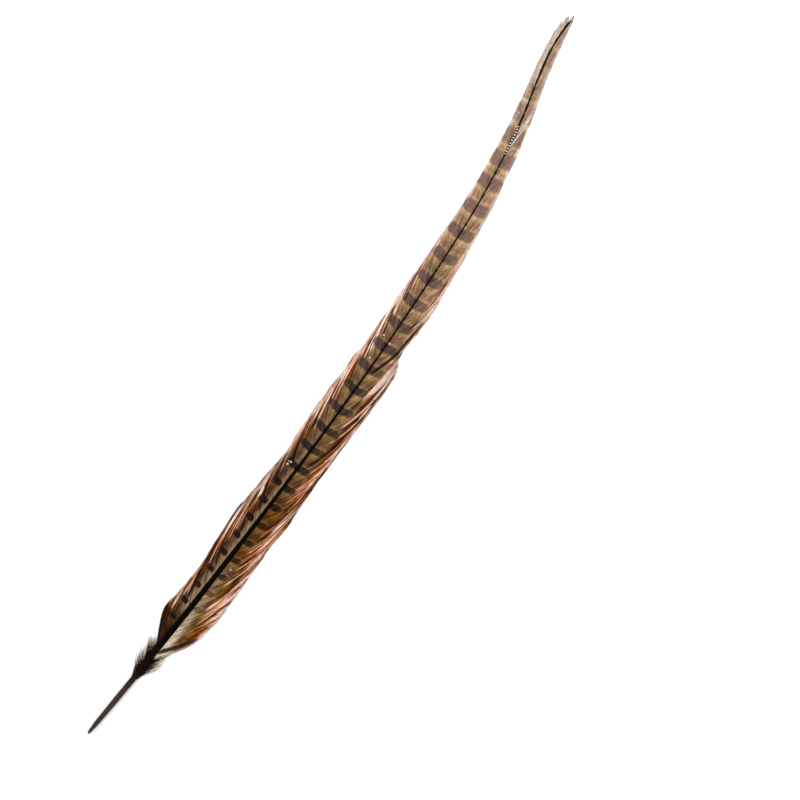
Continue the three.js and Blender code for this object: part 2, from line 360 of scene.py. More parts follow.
# The vanes: every barb is a closed three-sided strand, flat and tilted like a shingle
# so that its far edge lies over the next one's near edge.
barbs = {
    "pitch": 0.5, "rootSpread": 0.1,  # of the roots along the shaft
    "last": 494.5,
    "stations": 11, "stationEase": 1.2,  # along a barb, closer together near its root
    "inset": 0.2,  # past the shaft's axis
    "rootRise": 0.4, "rootDrop": 0.25,  # of the roots over the axis, in radii and mm
    "overlap": 1.5,  # of a barb's width over its distance to the next one
    "widest": 1.5, "narrowest": 0.12, "spare": 0.04,
    "closedTo": 0.86,  # share of a barb's length up to which neighbouring locks touch
    "looseOpening": 0.45,  # how much earlier loose ones part
    "openingOver": 0.15,
    "ridge": 0.07,  # of a barb's middle over its edges
    "tilt": 0.2,  # rise of its far edge over half its width
    "lockSizes": (9, 26),  # barbs that hook together
    "gather": [[54, 0.5], [165, 0.5], [195, 0.26], [500, 0.26]],  # of the tips of a lock
    "gatherSpread": (0.3, 1.15),
    "lengthSpread": 0.015, "frayed": (440, 480),  # twice as much where the tip has frayed
    "strayShare": 0.02, "strayLength": 0.035, "strayFrom": 90,  # barbs that stand out
    "pressedFrom": 0.88,  # share of the outline from which barbs crowd
    "leeway": 1.03,  # factor on the outline that they crowd under
    "lockLift": 0.35, "edgeLift": 0.3,  # of a lock's tip over its neighbours and the floor
    "barbLift": 0.05, "liftRange": (0.05, 1),
    "sag": 1.6,  # power of the curve from the shaft down to the rim
    "sagOver": 3,  # least width that it takes
    "heightRange": (0.01, 5.0),
    "firstDot": 94.2, "dotPitch": 11.6, "pitchGrowth": 0.0184,  # of the bars along the shaft
    "evenFrom": 392, "evenPitch": 14.9,
    "barLean": 0.013, "barRagged": 0.03,
    # how far a streak moves towards the tip while it crosses the vane
    "streakDrift": [[54, 3], [76, 6], [110, 8], [140, 8]],
    "streakStretch": 4.0, "streakFade": (0.05, 0.08),  # share over which its ends fade
    # dark share of the bars' pitch
    "duty": [[54, 0.27], [115, 0.28], [170, 0.29], [230, 0.32], [300, 0.36], [345, 0.38],
             [380, 0.43], [408, 0.58], [425, 0.66], [442, 0.8], [456, 0.9], [470, 1.3]],
    "rimStrength": [[54, 0.4], [110, 0.75], [250, 0.75], [340, 0.7], [455, 0.5], [480, 0]],
    "edgeStrength": [[54, 1], [335, 1], [380, 0.4], [440, 0.15], [500, 0.3]],
    # painted shadow on the barbs beside the shaft: its strength along the shaft, and the widths
    # across over which it comes in
    "rootShade": [[60, 1], [76, 1], [86, 0], [395, 0], [415, 0.75], [500, 0.7]],
    "lowerTo": 200, "shadeFrom": (3.2, 1.2), "shadeFull": (1.8, 0.4),  # lower, upper part
    "frost": [[280, 0], [350, 0.45], [420, 0.65], [500, 0.7]],
    # painted shade on the barbs close to the shaft, taken off their tone
    "shaftSideShade": [[190, 0], [240, 0.12], [330, 0.18], [390, 0.2], [440, 0.12], [500, 0.1]],
}
# Profiles of one vane, each from place along the shaft to value. The outline is its width,
# run is how far a barb's tip lies ahead of its root, slope how steeply it leaves the shaft,
# and edge, rim, strip, cream and pallor are tones at their own distances from the shaft.
leftVane = {
    "side": -1, "first": 62,
    # where barbs have come off their hooks and hang loose
    "loose": [[62, 0], [72, 0.3], [84, 0.2], [95, 0], [150, 0], [158, 0.6], [168, 0.6],
              [174, 0], [474, 0], [488, 0.6], [500, 0.6]],
    "edgeRise": [[0.9, 0.28], [1.2, 0.36], [1.42, 0.48], [1.65, 0.6], [2.2, 0.62]],
    "outline": [[61, 6.5], [74, 10.6], [82, 12.7], [88, 12.8], [96, 11.9], [104, 11.4],
                [112, 11.1], [118, 10.4], [126, 11.6], [132, 12.5], [141, 13.0], [155, 13.6],
                [169, 13.2], [186, 12.1], [200, 10.5], [212, 12.0], [224, 13.0], [236, 12.9],
                [248, 12.4], [262, 11.7], [279, 11.0], [300, 10.3], [329, 9.5], [350, 9.1],
                [372, 8.0], [402, 6.9], [430, 5.5], [462, 4.1], [479, 3.4], [488, 4.0],
                [495, 4.2], [498, 3.0], [500, 0.9]],
    "run": [[62, 20], [74, 32], [90, 52], [120, 66], [150, 66], [200, 54], [260, 50],
            [330, 44], [380, 36], [400, 31], [455, 24], [480, 14], [494.5, 5.2]],
    "slope": [[54, 0.75], [90, 0.7], [300, 0.7], [400, 0.4], [500, 0.3]],
    "barFrom": [[90, 3.3], [130, 2.6], [178, 2.3], [196, 0.6], [215, -1.5], [335, -1.0],
                [350, -0.4], [392, -0.4], [404, -3], [500, -3]],
    "barTo": [[80, 7.2], [100, 8.0], [130, 7.6], [200, 7.8], [320, 7.6], [352, 7.8],
              [395, 7.0], [404, 10], [500, 14]],
    # dark streaks, partly dark barbs and partly painted shadow where locks split and overlap:
    # root, its move over the barb's whole length, spread, strength, and from which share of the
    # barb to which
    "darkStreaks": [(62.5, 3, 2.0, 1.0, 0, 1.1), (68, 0, 3.0, 0.55, 0.1, 0.6),
                    (86, 14, 2.2, 1.0, 0.16, 0.5), (91, 15, 2.4, 1.0, 0.22, 0.85),
                    (104, 0, 1.4, 0.7, 0.2, 0.6), (115.5, 0, 2.2, 1.0, 0.1, 1.0),
                    (124, -6, 1.2, 0.7, 0.2, 0.6), (141, -16, 1.7, 0.9, 0.08, 0.6),
                    (155.5, 3, 2.8, 1.0, 0.08, 0.55), (164, 14, 6.0, 1.0, 0.2, 0.47),
                    (177, 0, 1.2, 0.7, 0.15, 0.6), (187, -1, 3.2, 1.0, 0.12, 0.7),
                    (206, -8, 2.0, 0.75, 0.22, 0.62), (219, -3, 2.2, 0.8, 0.16, 0.66),
                    (231, 28, 1.8, 0.8, 0.4, 0.78), (243, -5, 1.8, 0.85, 0.16, 0.6),
                    (258, 4, 1.2, 0.6, 0.1, 0.6), (272, 16, 2.0, 0.95, 0.16, 0.8),
                    (297.5, 1, 1.8, 0.8, 0.22, 0.75), (322, 4, 1.4, 0.6, 0.2, 0.7)],
    # pale streaks, partly pale barbs and partly painted highlight along splits
    "paleStreaks": [(70, 4, 3.0, 0.6, 0.52, 0.92), (77, 6, 2.0, 0.55, 0.45, 0.75),
                    (87, 9, 1.4, 0.7, 0.26, 0.4), (135, -19, 1.2, 0.45, 0.14, 0.5),
                    (137, -16, 2.0, 0.6, 0.45, 0.85), (166.5, -50, 3.2, 1.1, 0.26, 0.84),
                    (157, 0, 2.2, 1.1, 0.36, 0.72), (164, 30, 1.2, 0.9, 0.3, 0.46),
                    (201, -2, 2.2, 0.6, 0.4, 0.9), (231, 0, 0.9, 0.65, 0.16, 0.35),
                    (223, -9, 2.4, 0.6, 0.52, 0.92), (262, 0, 1.8, 0.6, 0.4, 0.9)],
    "zoneWidth": [[54, 6.4], [84, 7.2], [98, 8.6], [124, 8.4], [140, 7.8], [172, 8.2],
                  [200, 8.4], [222, 7.0], [240, 6.7], [300, 6.8], [340, 7.2], [370, 7.4],
                  [400, 8], [500, 8]],
    "barStrength": [[70, 0.3], [84, 1], [400, 1], [440, 0.8], [470, 0.5]],
    "edgeTone": [[60, -0.3], [82, -0.1], [90, 0.1], [104, 0.08], [120, 0.1], [135, 0.14],
                 [165, 0.12], [178, 0.06], [200, 0.08], [215, 0.15], [247, 0.19], [270, 0.23],
                 [356, 0.25], [500, 0.25]],
    "rimTone": [[60, 0], [120, 0.08], [135, 0.1], [160, 0.12], [176, 0.2], [216, 0.14],
                [250, 0.06], [330, 0.14], [500, 0.2]],
    "edgeDark": [[60, 0.3], [84, 0.8], [118, 0.8], [124, 0.1], [132, 0.9], [190, 0.9],
                 [200, 0]],
    "strip": [[84, 0], [92, 0.9], [178, 0.85], [215, 0.5], [290, 0]],
    "stripWidth": [[80, 6.0], [130, 5.4], [150, 4.2], [170, 3.6], [300, 2.8]],
    "cream": [[60, 0], [500, 0]], "creamFoot": 0,  # none on this side
    "pallor": [[425, 0], [445, 0.35], [462, 0.8], [500, 0.85]],
}
rightVane = {
    "side": 1, "first": 54,
    "loose": [[54, 0.5], [66, 0.3], [80, 0.2], [90, 0], [112, 0], [120, 0.4], [128, 0],
              [216, 0], [225, 0.25], [234, 0.25], [238, 0], [300, 0], [308, 0.4], [316, 0],
              [470, 0], [484, 0.7], [500, 0.7]],
    "edgeRise": [[0.9, 0.34], [1.25, 0.3], [1.42, 0.44], [1.55, 0.64], [1.72, 0.7], [1.9, 0.6],
                 [2.4, 0.6]],
    "outline": [[54, 5], [68, 11.4], [76, 14.8], [84, 17.0], [97, 17.9], [110, 17.5],
                [120, 17.1], [130, 16.3], [141, 15.4], [155, 15.4], [172, 15.4], [187, 14.8],
                [200, 14.0], [212, 13.6], [225, 13.7], [236, 14.3], [250, 14.7], [268, 14.6],
                [275, 13.8], [279, 11.4], [281, 8.8], [287, 9.5], [296, 10.8], [312, 11.6],
                [330, 11.0], [348, 9.8], [372, 8.4], [404, 7], [432, 5.6], [462, 4.9],
                [479, 4.7], [488, 3.4], [495, 2.1], [500, 0.9]],
    "run": [[54, 22], [64, 30], [80, 44], [110, 56], [140, 62], [196, 66], [232, 50],
            [280, 50], [330, 44], [380, 36], [400, 31], [455, 24], [480, 14], [494.5, 5.2]],
    "slope": [[54, 0.75], [120, 0.95], [200, 0.9], [250, 0.7], [300, 0.7], [400, 0.4],
              [500, 0.3]],
    "barFrom": [[80, 1.9], [130, 1.6], [150, 1.0], [180, 0.2], [220, -1.5],
                [335, -1.0], [350, -0.4], [392, -0.4], [404, -3], [500, -3]],
    "barTo": [[100, 6.2], [140, 6.8], [260, 7.8], [340, 7.6], [352, 8.0], [395, 7.0],
              [404, 10], [500, 14]],
    # dark streaks, partly dark barbs and partly painted shadow where locks split and overlap
    "darkStreaks": [(59.6, -1.5, 2.4, 1.0, 0.06, 0.84), (72, -4, 1.1, 0.5, 0.6, 1.0),
                    (80, -7, 1.3, 0.85, 0.55, 1.0), (88.5, -5, 1.3, 0.85, 0.5, 1.0),
                    (97.5, -6, 1.8, 0.9, 0.4, 0.95), (106, -4, 1.0, 0.7, 0.2, 0.8),
                    (121, -9, 2.2, 0.62, 0.12, 0.85), (132, -6, 1.0, 0.6, 0.2, 0.6),
                    (146, 0, 3.0, 1.0, 0.13, 0.7), (118, 62, 13, 1.0, 0.5, 0.8),
                    (165, 0, 1.2, 0.6, 0.3, 0.7), (173.5, 25, 1.4, 0.8, 0.08, 0.3),
                    (190, 32, 2.4, 1.0, 0.05, 0.6), (188, 33, 7.0, 1.0, 0.45, 0.95),
                    (202, 28, 1.9, 0.9, 0.14, 0.6), (232, 0, 1.2, 0.6, 0.15, 0.5),
                    (246, -20, 1.4, 0.8, 0.24, 0.8),
                    (258.5, 15, 3.4, 1.0, 0.06, 0.5), (261, 10, 8.5, 1.0, 0.32, 0.7),
                    (285.7, -5, 1.6, 0.9, 0.2, 0.8), (302, 4, 1.4, 0.7, 0.25, 0.8),
                    (318, 6, 1.2, 0.6, 0.3, 0.8), (417.2, 8, 0.7, 0.9, 0.12, 0.9)],
    # pale streaks, partly pale barbs and partly painted highlight along splits
    "paleStreaks": [(66, -1, 2.2, 0.4, 0.6, 1.05), (76, -1, 1.5, 0.5, 0.3, 0.9),
                    (84, -4, 1.2, 0.45, 0.5, 1.0), (104, 0, 2.8, 0.6, 0.36, 0.85),
                    (147, -26, 3.6, 0.66, 0.26, 0.94), (180, 26, 1.6, 0.55, 0.16, 0.42),
                    (165, 50, 2.2, 0.85, 0.58, 0.95), (236, -12, 1.9, 0.8, 0.25, 1.05),
                    (232, -4, 1.6, 0.8, 0.5, 1.05), (414.3, 8, 2.4, 1.2, 0.05, 0.95),
                    (420, 8, 1.4, 1.1, 0.12, 0.9)],
    "zoneWidth": [[54, 7.6], [66, 9.6], [95, 9.6], [118, 8.8], [135, 7.8], [150, 7.5],
                  [215, 7.9], [250, 7.8], [275, 8.3], [300, 8.2], [330, 7.8], [360, 8.4],
                  [400, 9], [500, 9]],
    "barStrength": [[60, 0], [72, 0.15], [84, 0.3], [95, 0.6], [108, 0.85], [120, 1],
                    [400, 1], [440, 0.7], [470, 0.4]],
    "edgeTone": [[60, -0.2], [66, 0.0], [72, 0.24], [84, 0.24], [100, 0.14], [120, 0.1],
                 [135, 0.02], [150, 0], [184, 0], [202, 0.04], [215, 0.06], [247, 0.08],
                 [262, 0.14], [300, 0.25], [340, 0.27], [500, 0.24]],
    "rimTone": [[60, -0.1], [67, 0.1], [74, 0.25], [100, 0.2], [125, 0.12], [140, -0.05],
                [150, -0.15], [172, -0.36], [200, -0.36], [214, -0.1], [240, -0.08],
                [262, 0.12], [280, 0.32], [500, 0.32]],
    "edgeDark": [[60, 0.1], [120, 0.2], [140, 0.6], [176, 0.8], [200, 0.8], [212, 0.1],
                 [300, 0.1], [340, 0]],
    "strip": [[60, 0], [500, 0]], "stripWidth": [[60, 3], [500, 3]],  # none on this side
    "cream": [[60, 1.0], [76, 0.95], [84, 0.7], [94, 0.35], [120, 0.15], [132, 0]],
    "creamFoot": 0.85,  # of the lowest barbs
    "pallor": [[470, 0], [500, 0.2]],
}


def bendOf(run, reach, slope):
    # how fast a barb bends forward after it leaves the shaft at its slope
    steepness = np.maximum(1.05, slope * run / reach)
    bend = steepness.copy()
    for _ in range(40):
        bend = steepness * (1 - np.exp(-bend))
    return bend


def vaneHeight(outline, across, along, lift):
    # the vane sags from the upper half of the shaft down to its rim
    root = eased(feather["height"], along)
    root = root + barbs["rootRise"] * eased(feather["radius"], along) - barbs["rootDrop"]
    width = np.maximum(barbs["sagOver"], eased(outline, along))
    share = np.minimum(1, np.abs(across) / width)
    return lift + (root - lift) * (1 - share ** barbs["sag"])


def buildVane(name, v):
    side, b, shaftEnd = v["side"], barbs, feather["length"]
    roots = np.arange(v["first"], b["last"], b["pitch"])
    roots = roots + rng.uniform(-b["rootSpread"], b["rootSpread"], len(roots))
    count = len(roots)
    lock, lockMiddle, lockPlace = np.zeros(count, int), np.zeros(count), np.zeros(count)
    n = start = 0
    while start < count:
        end = min(count, start + int(rng.integers(*b["lockSizes"])))
        lock[start:end] = n
        lockMiddle[start:end] = roots[start:end].mean()
        lockPlace[start:end] = np.linspace(-1, 1, end - start)
        n, start = n + 1, end
    lockTone = rng.uniform(-1, 1, n)[lock]
    lockRise = rng.uniform(0, 1, n)[lock]
    lockLonger = rng.normal(0, 1, n)[lock]
    gather = eased(b["gather"], roots) * rng.uniform(*b["gatherSpread"], n)[lock]
    barbTone = rng.uniform(-1, 1, count)
    isStray = (rng.uniform(0, 1, count) < b["strayShare"]) & (roots > b["strayFrom"])
    longer = 1 + b["lengthSpread"] * (1 + smooth(*b["frayed"], roots)) * (
        0.6 * lockLonger + rng.normal(0, 0.6, count)) + b["strayLength"] * isStray
    run = eased(v["run"], roots)
    tipAlong = roots + run - gather * (roots - lockMiddle)
    reach = eased(v["outline"], np.minimum(tipAlong, shaftEnd)) * longer
    bend = bendOf(run, reach, eased(v["slope"], roots))

    u = np.linspace(0, 1, b["stations"] + 1) ** b["stationEase"]
    drawn = u[None] ** 2
    grow = (1 - np.exp(-bend[:, None] * u)) / (1 - np.exp(-bend[:, None]))
    along = roots[:, None] + run[:, None] * u - (gather * (roots - lockMiddle))[:, None] * drawn
    out = (reach + b["inset"])[:, None] * grow - b["inset"]
    # where the outline dips the barbs are pressed together under it
    limit = b["leeway"] * eased(v["outline"], np.minimum(along, shaftEnd)) * longer[:, None]
    filled = out / limit
    pressed = b["pressedFrom"] + (1 - b["pressedFrom"]) * (
        1 - np.exp((b["pressedFrom"] - filled) / (1 - b["pressedFrom"])))
    out = np.where(filled > b["pressedFrom"], pressed, filled) * limit
    stepAlong, stepOut = np.gradient(along, axis=1), np.gradient(out, axis=1)
    size = np.hypot(stepAlong, stepOut)
    ahead, outward = stepAlong / size, stepOut / size

    # distance to the next barb, square to the barb's own direction
    gap = np.abs(np.diff(along, axis=0) * outward[:-1] - np.diff(out, axis=0) * ahead[:-1])
    before, after = np.vstack([gap[:1], gap]), np.vstack([gap, gap[-1:]])
    loosely = eased(v["loose"], roots)[:, None]
    opens = b["closedTo"] - b["looseOpening"] * loosely
    parted = smooth(opens, opens + b["openingOver"], u[None])
    nextGap = np.minimum(before, after) * parted + np.maximum(before, after) * (1 - parted)
    width = np.clip(b["overlap"] * nextGap + b["spare"], b["narrowest"], b["widest"])
    # tips taper, and loose barbs thin out from their middle on
    width *= (1 - 0.5 * smooth(0.88, 1.0, u)[None]) * (
        1 - 0.55 * loosely * smooth(0.35, 0.8, u)[None])

    lift = b["edgeLift"] * lockRise[:, None] + b["lockLift"] * (lockRise[:, None] - 0.3) * u
    middle = vaneHeight(v["outline"], out, along, np.clip(lift, *b["liftRange"]))
    middle = middle + b["barbLift"] * barbTone[:, None] * u
    # the near edge of a barb is the one towards the quill
    half = width / 2
    near = np.stack([out + half * ahead, along - half * outward, middle - b["tilt"] * half], -1)
    far = np.stack([out - half * ahead, along + half * outward, middle + b["tilt"] * half], -1)
    ridge = np.stack([out, along, middle + b["ridge"]], -1)
    tip = np.stack([out[:, -1], along[:, -1], middle[:, -1]], -1)
    flat = strandPoints(near, far, ridge, tip)
    points = layOnLine(side * flat[:, 0], flat[:, 1], np.clip(flat[:, 2], *b["heightRange"]))
    faces = strandFaces(count, b["stations"])
    if side > 0:
        faces = faces[:, ::-1]

    # what each point keeps for the material
    perBarb = 3 * b["stations"] + 1
    place = strandShares(u, count)
    root = np.repeat(roots, perBarb)
    across, alongHere = np.abs(flat[:, 0]), flat[:, 1]
    toneHere, lockHere = np.repeat(barbTone, perBarb), np.repeat(lockTone, perBarb)
    zone = across / eased(v["zoneWidth"], alongHere)
    rimDistance = eased(v["outline"], np.minimum(alongHere, shaftEnd)) - across
    lower = alongHere < b["lowerTo"]

    def named(streaks):
        # the strongest of the named streaks at each point
        strongest, (beyond, within) = np.zeros(len(root)), b["streakFade"]
        for start, move, spread, strength, begins, ends in streaks:
            near = np.exp(-((root - start - move * place) / spread) ** 2)
            seen = smooth(begins - beyond, begins + within, place)
            seen = seen * (1 - smooth(ends - within, ends + beyond, place))
            strongest = np.maximum(strongest, strength * near * seen)
        return strongest

    # painted shade: dark where a lock parts from the next one (painted shadow), at the named
    # places (partly painted shadow where locks split, partly dark barbs) and beside the shaft
    # (painted shadow)
    partingShade = smooth(-0.7, -1, np.repeat(lockPlace, perBarb)) * smooth(0.5, 1.1, zone)
    partingShade *= 0.3 + 0.25 * lockHere
    shaftShade = eased(b["rootShade"], alongHere) * smooth(
        np.where(lower, *b["shadeFrom"]), np.where(lower, *b["shadeFull"]), across)
    if side > 0:
        shaftShade[lower] = 0
    shade = np.maximum(np.maximum(named(v["darkStreaks"]), partingShade), shaftShade)

    # bars counted from the first one, at a pitch that grows and is even near the tip
    counted = np.minimum(alongHere, b["evenFrom"])
    dots = np.log(np.maximum(0.05, (counted - b["firstDot"]) / b["dotPitch"]
                             * b["pitchGrowth"] + 1)) / b["pitchGrowth"]
    dots += ((alongHere - counted) / b["evenPitch"] - b["barLean"] * across
             + b["barRagged"] * toneHere)
    barFrom, barTo = eased(v["barFrom"], alongHere), eased(v["barTo"], alongHere)
    edgeLevel = eased(v["edgeRise"], zone) + eased(v["edgeTone"], alongHere)
    edgeLevel += eased(v["rimTone"], alongHere) * smooth(3.2, 0.4, rimDistance)
    return meshPiece(name, points, faces, {
        "alongShare": alongHere / shaftEnd, "across": across, "along": alongHere,
        "streakRoot": root - eased(b["streakDrift"], root) * place,
        "streakShare": place * b["streakStretch"],
        "barCount": dots + 0.5, "barPlace": (across - barFrom) / (barTo - barFrom) * 2 - 1,
        "duty": eased(b["duty"], alongHere) / 2,
        "barStrength": eased(v["barStrength"], alongHere),
        "rimStrength": eased(b["rimStrength"], alongHere),
        "edgeLevel": edgeLevel, "zone": zone,
        "edgeStrength": eased(b["edgeStrength"], alongHere),
        "rimDistance": rimDistance, "edgeDark": eased(v["edgeDark"], alongHere),
        "strip": eased(v["strip"], alongHere) * smooth(
            1, 0.6, across / eased(v["stripWidth"], alongHere)),
        "cream": np.maximum(eased(v["cream"], alongHere) * smooth(6.6, 3.6, across),
                            v["creamFoot"] * smooth(59.6, 57.8, root) * smooth(0.8, 0.5, place)),
        "frost": np.maximum(eased(v["pallor"], alongHere),
                            eased(b["frost"], alongHere) * smooth(2.2, 0.2, rimDistance)),
        # random tone of barb and lock, less a painted shade close to the shaft
        "tone": 0.1 * toneHere + 0.08 * lockHere
        - eased(b["shaftSideShade"], alongHere) * smooth(4.2, 1.2, across),
        "shade": shade, "shine": named(v["paleStreaks"]),
    })


def barbMaterial(name, c):
    # Barbs of feather keratin with melanin: satin threads hooked into a web, whose fine
    # streaks run along the barbs and whose dark bars step from barb to barb.
    material, tree = newMaterial(name)
    field = {label: addNode(tree, "Attribute", output="Fac", attribute_name=label) for label in (
        "alongShare", "across", "along", "streakRoot", "streakShare", "barCount", "barPlace",
        "duty", "barStrength", "rimStrength", "edgeLevel", "zone", "edgeStrength",
        "rimDistance", "edgeDark", "strip", "cream", "frost", "tone", "shade", "shine")}
    # streaks are narrow across the barbs and long along them
    streakPlace = addNode(tree, "CombineXYZ", {"X": field["streakRoot"],
                                               "Y": field["streakShare"]})
    streaks, threads, broad = [
        addNode(tree, "TexNoise", {"Vector": streakPlace, "Scale": c[scale], "Detail": 2.0},
                output="Fac") for scale in ("streakScale", "threadScale", "broadScale")]

    # bars: rounded in their own two directions, along the feather and out from the shaft
    cycle = addNode(tree, "Math", {0: field["barCount"]}, operation="FRACT")
    fromBar = addNode(tree, "Math", {0: cycle, 1: 0.5}, operation="SUBTRACT")
    phase = addNode(tree, "Math", {0: fromBar}, operation="ABSOLUTE")
    alongBar = addNode(tree, "Math", {0: phase, 1: field["duty"]}, operation="DIVIDE")
    alongBar = addNode(tree, "Math", {0: alongBar, 1: c["squareAlong"]}, operation="POWER")
    acrossBar = addNode(tree, "Math", {0: field["barPlace"]}, operation="ABSOLUTE")
    acrossBar = addNode(tree, "Math", {0: acrossBar, 1: c["squareAcross"]}, operation="POWER")
    rounded = addNode(tree, "Math", {0: alongBar, 1: acrossBar}, operation="ADD")
    bar = addNode(tree, "MapRange", {"Value": rounded, 1: 1.9, 2: 0.55, 4: field["barStrength"]},
                  interpolation_type="SMOOTHSTEP")
    rim = addNode(tree, "MapRange", {"Value": rounded, 1: 6.0, 2: 2.0, 4: field["rimStrength"]},
                  interpolation_type="SMOOTHSTEP")

    # ground between the bars: brown after a bar, golden before the next one
    sinceBar = addNode(tree, "Math", {0: fromBar, 1: 1.0}, operation="FLOORED_MODULO")
    gold = addNode(tree, "MapRange", {"Value": sinceBar, 1: 0.42, 2: 0.8},
                   interpolation_type="SMOOTHSTEP")
    clouds = addNode(tree, "MapRange", {"Value": broad, 1: 0.0, 2: 1.0, 3: -0.8, 4: 0.8})
    mottled = addNode(tree, "Math", {0: clouds, 1: gold}, operation="ADD", use_clamp=True)
    spots = [place / feather["length"] for place in c["tonesAt"]]
    afterBar, beforeBar, barTone = [
        addNode(tree, "ValToRGB", {"Fac": field["alongShare"]}, stops=inOrder(spots, c[tones]))
        for tones in ("afterBar", "beforeBar", "bar")]
    ground = addNode(tree, "Mix", {0: mottled, 6: afterBar, 7: beforeBar}, output=2,
                     data_type="RGBA")
    creamTone = addNode(tree, "Mix", {0: threads, 6: linear(c["cream"]),
                                      7: linear(c["creamDark"])}, output=2, data_type="RGBA")
    hairs = addNode(tree, "MapRange", {"Value": threads, 1: 0.5, 2: 0.38, 4: c["hairlines"]},
                    interpolation_type="SMOOTHSTEP")
    glints = addNode(tree, "MapRange", {"Value": threads, 1: 0.56, 2: 0.7, 4: c["glints"]},
                     interpolation_type="SMOOTHSTEP")
    for share, tone in ((rim, beforeBar), (field["strip"], linear(c["strip"])),
                        (field["cream"], creamTone), (hairs, linear(c["thread"])),
                        (glints, beforeBar), (field["frost"], linear(c["frost"]))):
        ground = addNode(tree, "Mix", {0: share, 6: ground, 7: tone}, output=2,
                         data_type="RGBA")

    # rust, orange, salmon and nearly white threads towards the edge, with dark ones between
    wide, fine = c["edgeContrast"] / 2, c["threadContrast"] / 2
    level = addNode(tree, "MapRange", {"Value": streaks, 1: 0.0, 2: 1.0, 3: -wide, 4: wide})
    level = addNode(tree, "Math", {0: level, 1: field["edgeLevel"]}, operation="ADD")
    fineLevel = addNode(tree, "MapRange", {"Value": threads, 1: 0.0, 2: 1.0, 3: -fine, 4: fine})
    level = addNode(tree, "Math", {0: level, 1: fineLevel}, operation="ADD")
    edge = addNode(tree, "ValToRGB", {"Fac": level}, stops=inOrder(
        (0.12, 0.34, 0.5, 0.68, 0.98),
        (c["thread"], c["rust"], c["orange"], c["salmon"], c["pale"])))
    wander = addNode(tree, "MapRange", {"Value": streaks, 1: 0.0, 2: 1.0, 3: -0.4, 4: 0.4})
    wander = addNode(tree, "Math", {0: wander, 1: field["zone"]}, operation="ADD")
    edgeShare = addNode(tree, "MapRange", {"Value": wander, 1: 0.85, 2: 1.12,
                                           4: field["edgeStrength"]},
                        interpolation_type="SMOOTHSTEP")
    dressed = addNode(tree, "Mix", {0: edgeShare, 6: ground, 7: edge}, output=2,
                      data_type="RGBA")
    wornUp = addNode(tree, "MapRange", {"Value": field["alongShare"], 1: 0.78, 2: 0.94,
                                        3: 0.26, 4: 0.7})
    worn = addNode(tree, "MapRange", {"Value": threads, 1: 0.5, 2: 0.72, 4: wornUp},
                   interpolation_type="SMOOTHSTEP")
    # a mauve sheen lies in patches on the upper bars
    sheenUp = addNode(tree, "MapRange", {"Value": field["alongShare"], 1: 0.42, 2: 0.62, 4: 0.4})
    sheen = addNode(tree, "MapRange", {"Value": broad, 1: 0.44, 2: 0.62, 4: sheenUp},
                    interpolation_type="SMOOTHSTEP")
    sheenBar = addNode(tree, "Mix", {0: sheen, 6: barTone, 7: linear(c["sheen"])}, output=2,
                       data_type="RGBA")
    wornBar = addNode(tree, "Mix", {0: worn, 6: sheenBar, 7: dressed}, output=2,
                      data_type="RGBA")
    faint = addNode(tree, "MapRange", {"Value": field["barPlace"], 1: 0.1, 2: 0.9, 3: 1.0,
                                       4: c["barEnd"]})
    bar = addNode(tree, "Math", {0: bar, 1: faint}, operation="MULTIPLY")

    # pale threads (partly pale barbs, partly painted highlight along splits) and dark threads
    # (partly dark barbs, partly painted shadow at lock partings and beside the shaft) at their
    # own places, whose masks the fine noise breaks up, and a dark line along the rim
    loosen = addNode(tree, "MapRange", {"Value": threads, 1: 0.0, 2: 1.0, 3: 0.45, 4: -0.45})
    shine = addNode(tree, "Math", {0: field["shine"], 1: loosen}, operation="SUBTRACT")
    shine = addNode(tree, "MapRange", {"Value": shine, 1: 0.3, 2: 0.75, 4: 0.92},
                    interpolation_type="SMOOTHSTEP")
    whitened = addNode(tree, "MapRange", {"Value": field["alongShare"], 1: 0.7, 2: 0.8})
    shineTone = addNode(tree, "Mix", {0: whitened, 6: linear(c["pale"]),
                                      7: linear(c["frost"])}, output=2, data_type="RGBA")
    shade = addNode(tree, "Math", {0: field["shade"], 1: loosen}, operation="ADD")
    shade = addNode(tree, "MapRange", {"Value": shade, 1: 0.25, 2: 0.65, 4: 0.95},
                    interpolation_type="SMOOTHSTEP")
    rimLine = addNode(tree, "MapRange", {"Value": field["rimDistance"], 1: 1.2, 2: 0.3,
                                         4: field["edgeDark"]},
                      interpolation_type="SMOOTHSTEP")
    broken = addNode(tree, "MapRange", {"Value": broad, 1: 0.36, 2: 0.52},
                     interpolation_type="SMOOTHSTEP")
    rimLine = addNode(tree, "Math", {0: rimLine, 1: broken}, operation="MULTIPLY")
    for share, tone in ((bar, wornBar), (shine, shineTone), (rimLine, linear(c["edging"])),
                        (shade, linear(c["thread"]))):
        dressed = addNode(tree, "Mix", {0: share, 6: dressed, 7: tone}, output=2,
                          data_type="RGBA")

    # small pale flecks on the web
    fleckPlace = addNode(tree, "CombineXYZ", {"X": field["along"], "Y": field["across"]})
    ragged = addNode(tree, "MapRange", {"Value": threads, 1: 0.0, 2: 1.0, 3: -0.8, 4: 0.8})
    for along, across, size in c["flecks"]:
        away = addNode(tree, "VectorMath", {0: fleckPlace, 1: (along, across, 0)},
                       output="Value", operation="DISTANCE")
        away = addNode(tree, "Math", {0: away, 1: ragged}, operation="ADD")
        fleck = addNode(tree, "MapRange", {"Value": away, 1: size, 2: 0.6 * size, 4: 0.85})
        dressed = addNode(tree, "Mix", {0: fleck, 6: dressed, 7: linear(c["fleck"])}, output=2,
                          data_type="RGBA")

